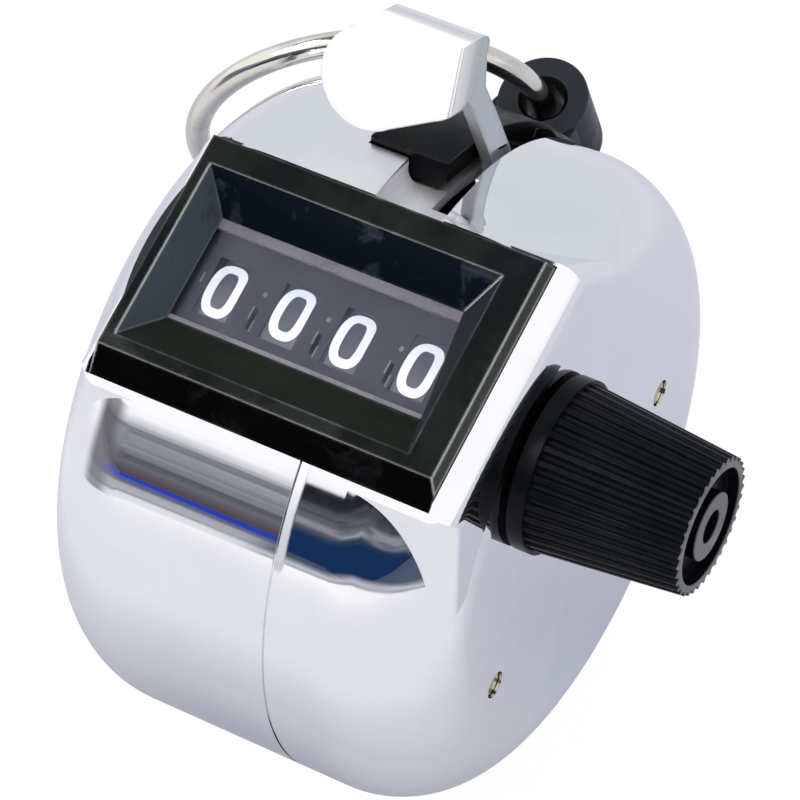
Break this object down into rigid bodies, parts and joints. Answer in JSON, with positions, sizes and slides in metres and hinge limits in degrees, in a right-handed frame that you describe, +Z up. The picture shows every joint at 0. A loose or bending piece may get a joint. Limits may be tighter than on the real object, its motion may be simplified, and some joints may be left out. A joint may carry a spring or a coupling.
{
  "type": "hand tally counter",
  "caption": "Round chromed hand tally counter with a tilted number window, thumb lever, side reset knob and a finger ring on a lug at the back.",
  "frame": {"origin": "centre of the flat left face of the drum, on the drum's axis", "axes": "+X along the drum's axis from the left face to the reset knob, -Y towards the front with the window, +Z up to the thumb lever"},
  "size_m": [0.0497, 0.0514, 0.0547],
  "materials": {
    "chrome_case": "polished",
    "chrome_lever": "polished",
    "nickel_wire": "polished",
    "black_gloss": "gloss",
    "black_matte": "satin",
    "clear_lens": "clear",
    "wheel_grey": "matte",
    "figure_white": "printed",
    "steel": "turned",
    "spring_brass": "rolled"
  },
  "bodies": {
    "case": {"left_case": "chrome_case", "right_case": "chrome_case", "window_bezel": "black_gloss", "window_lens": "clear_lens", "lever_guide": "black_matte", "left_plate": "steel", "right_plate": "steel", "frame_posts": "steel", "case_rivet": "steel", "lever_pivot": "steel", "lever_spring": "steel", "detent_comb": "spring_brass", "comb_rod": "steel"},
    "reset": {"wheel_shaft": "steel", "shaft_clip": "steel", "reset_knob": "black_matte", "knob_pin": "steel"},
    "thousands": {"thousands_wheel": "wheel_grey"},
    "hundreds": {"hundreds_wheel": "wheel_grey"},
    "tens": {"tens_wheel": "wheel_grey"},
    "units": {"units_wheel": "wheel_grey"},
    "lever": {"thumb_lever": "chrome_lever", "pawl_pin": "steel"},
    "pawl": {"drive_pawl": "steel"},
    "ring": {"finger_ring": "nickel_wire"}
  },
  "joints": [
    {"name": "reset_turn", "type": "hinge", "parent": "case", "child": "reset", "pos_m": [0.0299, -0.00529, 0.00934], "axis": [1, 0, 0], "continuous": true},
    {"name": "thousands_turn", "type": "hinge", "parent": "case", "child": "thousands", "pos_m": [0.00762, -0.00529, 0.00934], "axis": [1, 0, 0], "continuous": true, "deforming": ["detent_comb"]},
    {"name": "hundreds_turn", "type": "hinge", "parent": "case", "child": "hundreds", "pos_m": [0.01227, -0.00529, 0.00934], "axis": [1, 0, 0], "continuous": true, "deforming": ["detent_comb"]},
    {"name": "tens_turn", "type": "hinge", "parent": "case", "child": "tens", "pos_m": [0.01692, -0.00529, 0.00934], "axis": [1, 0, 0], "continuous": true, "deforming": ["detent_comb"]},
    {"name": "units_turn", "type": "hinge", "parent": "case", "child": "units", "pos_m": [0.02158, -0.00529, 0.00934], "axis": [1, 0, 0], "continuous": true, "deforming": ["detent_comb"]},
    {"name": "lever_press", "type": "hinge", "parent": "case", "child": "lever", "pos_m": [0.0185, 0.01105, 0.00165], "axis": [1, 0, 0], "range_deg": [0, 7.5], "stiffness_Nm_per_rad": 0.1, "springref_deg": -28.65, "deforming": ["lever_spring"]},
    {"name": "pawl_swing", "type": "hinge", "parent": "lever", "child": "pawl", "pos_m": [0.0147, 0.0046, 0.0144], "axis": [1, 0, 0], "range_deg": [-24, 0.5]},
    {"name": "ring_swing", "type": "hinge", "parent": "case", "child": "ring", "pos_m": [0.0136, 0.0239, 0.01074], "axis": [0, 0.4099, -0.9121], "range_deg": [0, 200]}
  ],
  "couplings": [
    {"joint": "thousands_turn", "follows": "reset_turn", "ratio": 1},
    {"joint": "hundreds_turn", "follows": "reset_turn", "ratio": 1},
    {"joint": "tens_turn", "follows": "reset_turn", "ratio": 1},
    {"joint": "units_turn", "follows": "reset_turn", "ratio": 1},
    {"joint": "pawl_swing", "follows": "lever_press", "ratio": -3.127}
  ]
}
